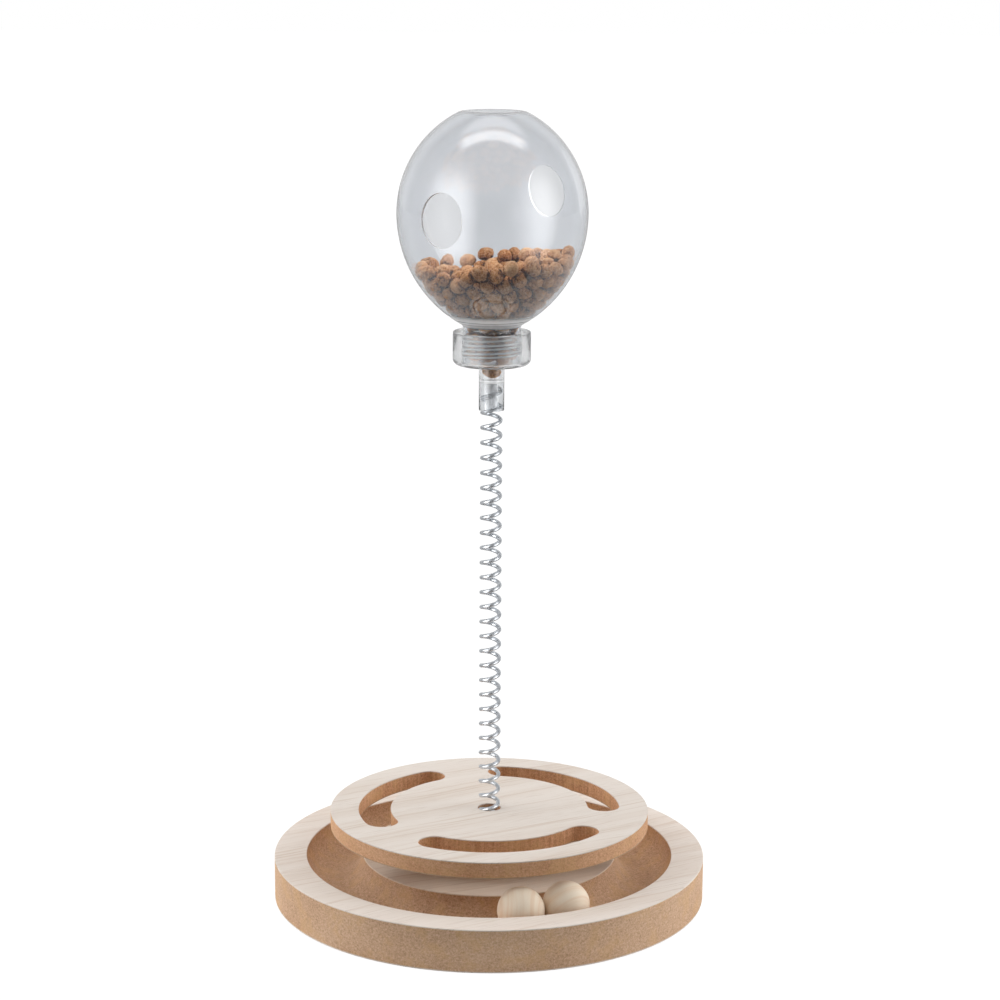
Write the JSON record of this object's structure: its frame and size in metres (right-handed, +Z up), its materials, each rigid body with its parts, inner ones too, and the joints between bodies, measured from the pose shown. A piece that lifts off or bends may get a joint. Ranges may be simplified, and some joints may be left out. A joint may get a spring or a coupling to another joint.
{
  "type": "cat puzzle feeder",
  "caption": "Cat puzzle feeder: a clear kibble globe with feed holes sways on a coil spring above a round veneered board, where balls roll in a groove under a slotted disc.",
  "frame": {"origin": "middle of the underside of the base, on the surface that the feeder stands on", "axes": "+Z up along the spring, -Y towards the front as pictured, +X to the right"},
  "size_m": [0.236, 0.236, 0.428],
  "materials": {
    "fibreboard": "raw fibreboard edge, fine speckle, matte",
    "veneer": "pale oak veneer with fine straight grain, matte",
    "plain_wood": "plain turned wood, matte",
    "ball_wood": "turned wood with straight grain, sanded",
    "zinc_screw": "zinc plated",
    "spring_wire": "bright drawn wire",
    "frosted_plastic": "translucent moulded plastic",
    "clear_plastic": "clear blown plastic, glossy",
    "kibble": "dry baked food, dusty and matte"
  },
  "bodies": {
    "base": {"base_board": "fibreboard", "base_backing": "veneer", "rim_veneer": "veneer", "island_veneer": "veneer", "spacer": "plain_wood", "spring_peg": "plain_wood", "top_disc": "fibreboard", "disc_veneer": "veneer", "disc_backing": "veneer", "screws": "zinc_screw"},
    "spring": {"spring": "spring_wire"},
    "cap": {"screw_cap": "frosted_plastic"},
    "kibble": {"kibble": "kibble"},
    "globe": {"globe": "clear_plastic"},
    "ball_1": {"ball_1": "ball_wood"},
    "ball_2": {"ball_2": "ball_wood"}
  },
  "joints": [
    {"name": "sway_left_right", "type": "hinge", "parent": "base", "child": "spring", "pos_m": [0, 0, 0.105], "axis": [0, 1, 0], "range_deg": [-37, 37], "stiffness_Nm_per_rad": 0.8, "deforming": ["spring"]},
    {"name": "sway_front_back", "type": "hinge", "parent": "spring", "child": "cap", "pos_m": [0, 0, 0.2226], "axis": [1, 0, 0], "range_deg": [-37, 37], "stiffness_Nm_per_rad": 0.5, "deforming": ["spring"]},
    {"name": "globe_lift", "type": "slide", "parent": "cap", "child": "kibble", "axis": [0, 0, 1], "range_m": [0, 0.01681]},
    {"name": "globe_turn", "type": "hinge", "parent": "kibble", "child": "globe", "pos_m": [0, 0, 0.305], "axis": [0, 0, 1], "range_deg": [0, 1440]},
    {"name": "ball_1_roll", "type": "hinge", "parent": "base", "child": "ball_1", "pos_m": [0, 0, 0.0206], "axis": [0, 0, 1], "continuous": true},
    {"name": "ball_2_roll", "type": "hinge", "parent": "ball_1", "child": "ball_2", "pos_m": [0, 0, 0.0206], "axis": [0, 0, 1], "range_deg": [0, 325.7]}
  ],
  "couplings": [
    {"joint": "globe_lift", "follows": "globe_turn", "m_per_rad": 0.00066845}
  ]
}
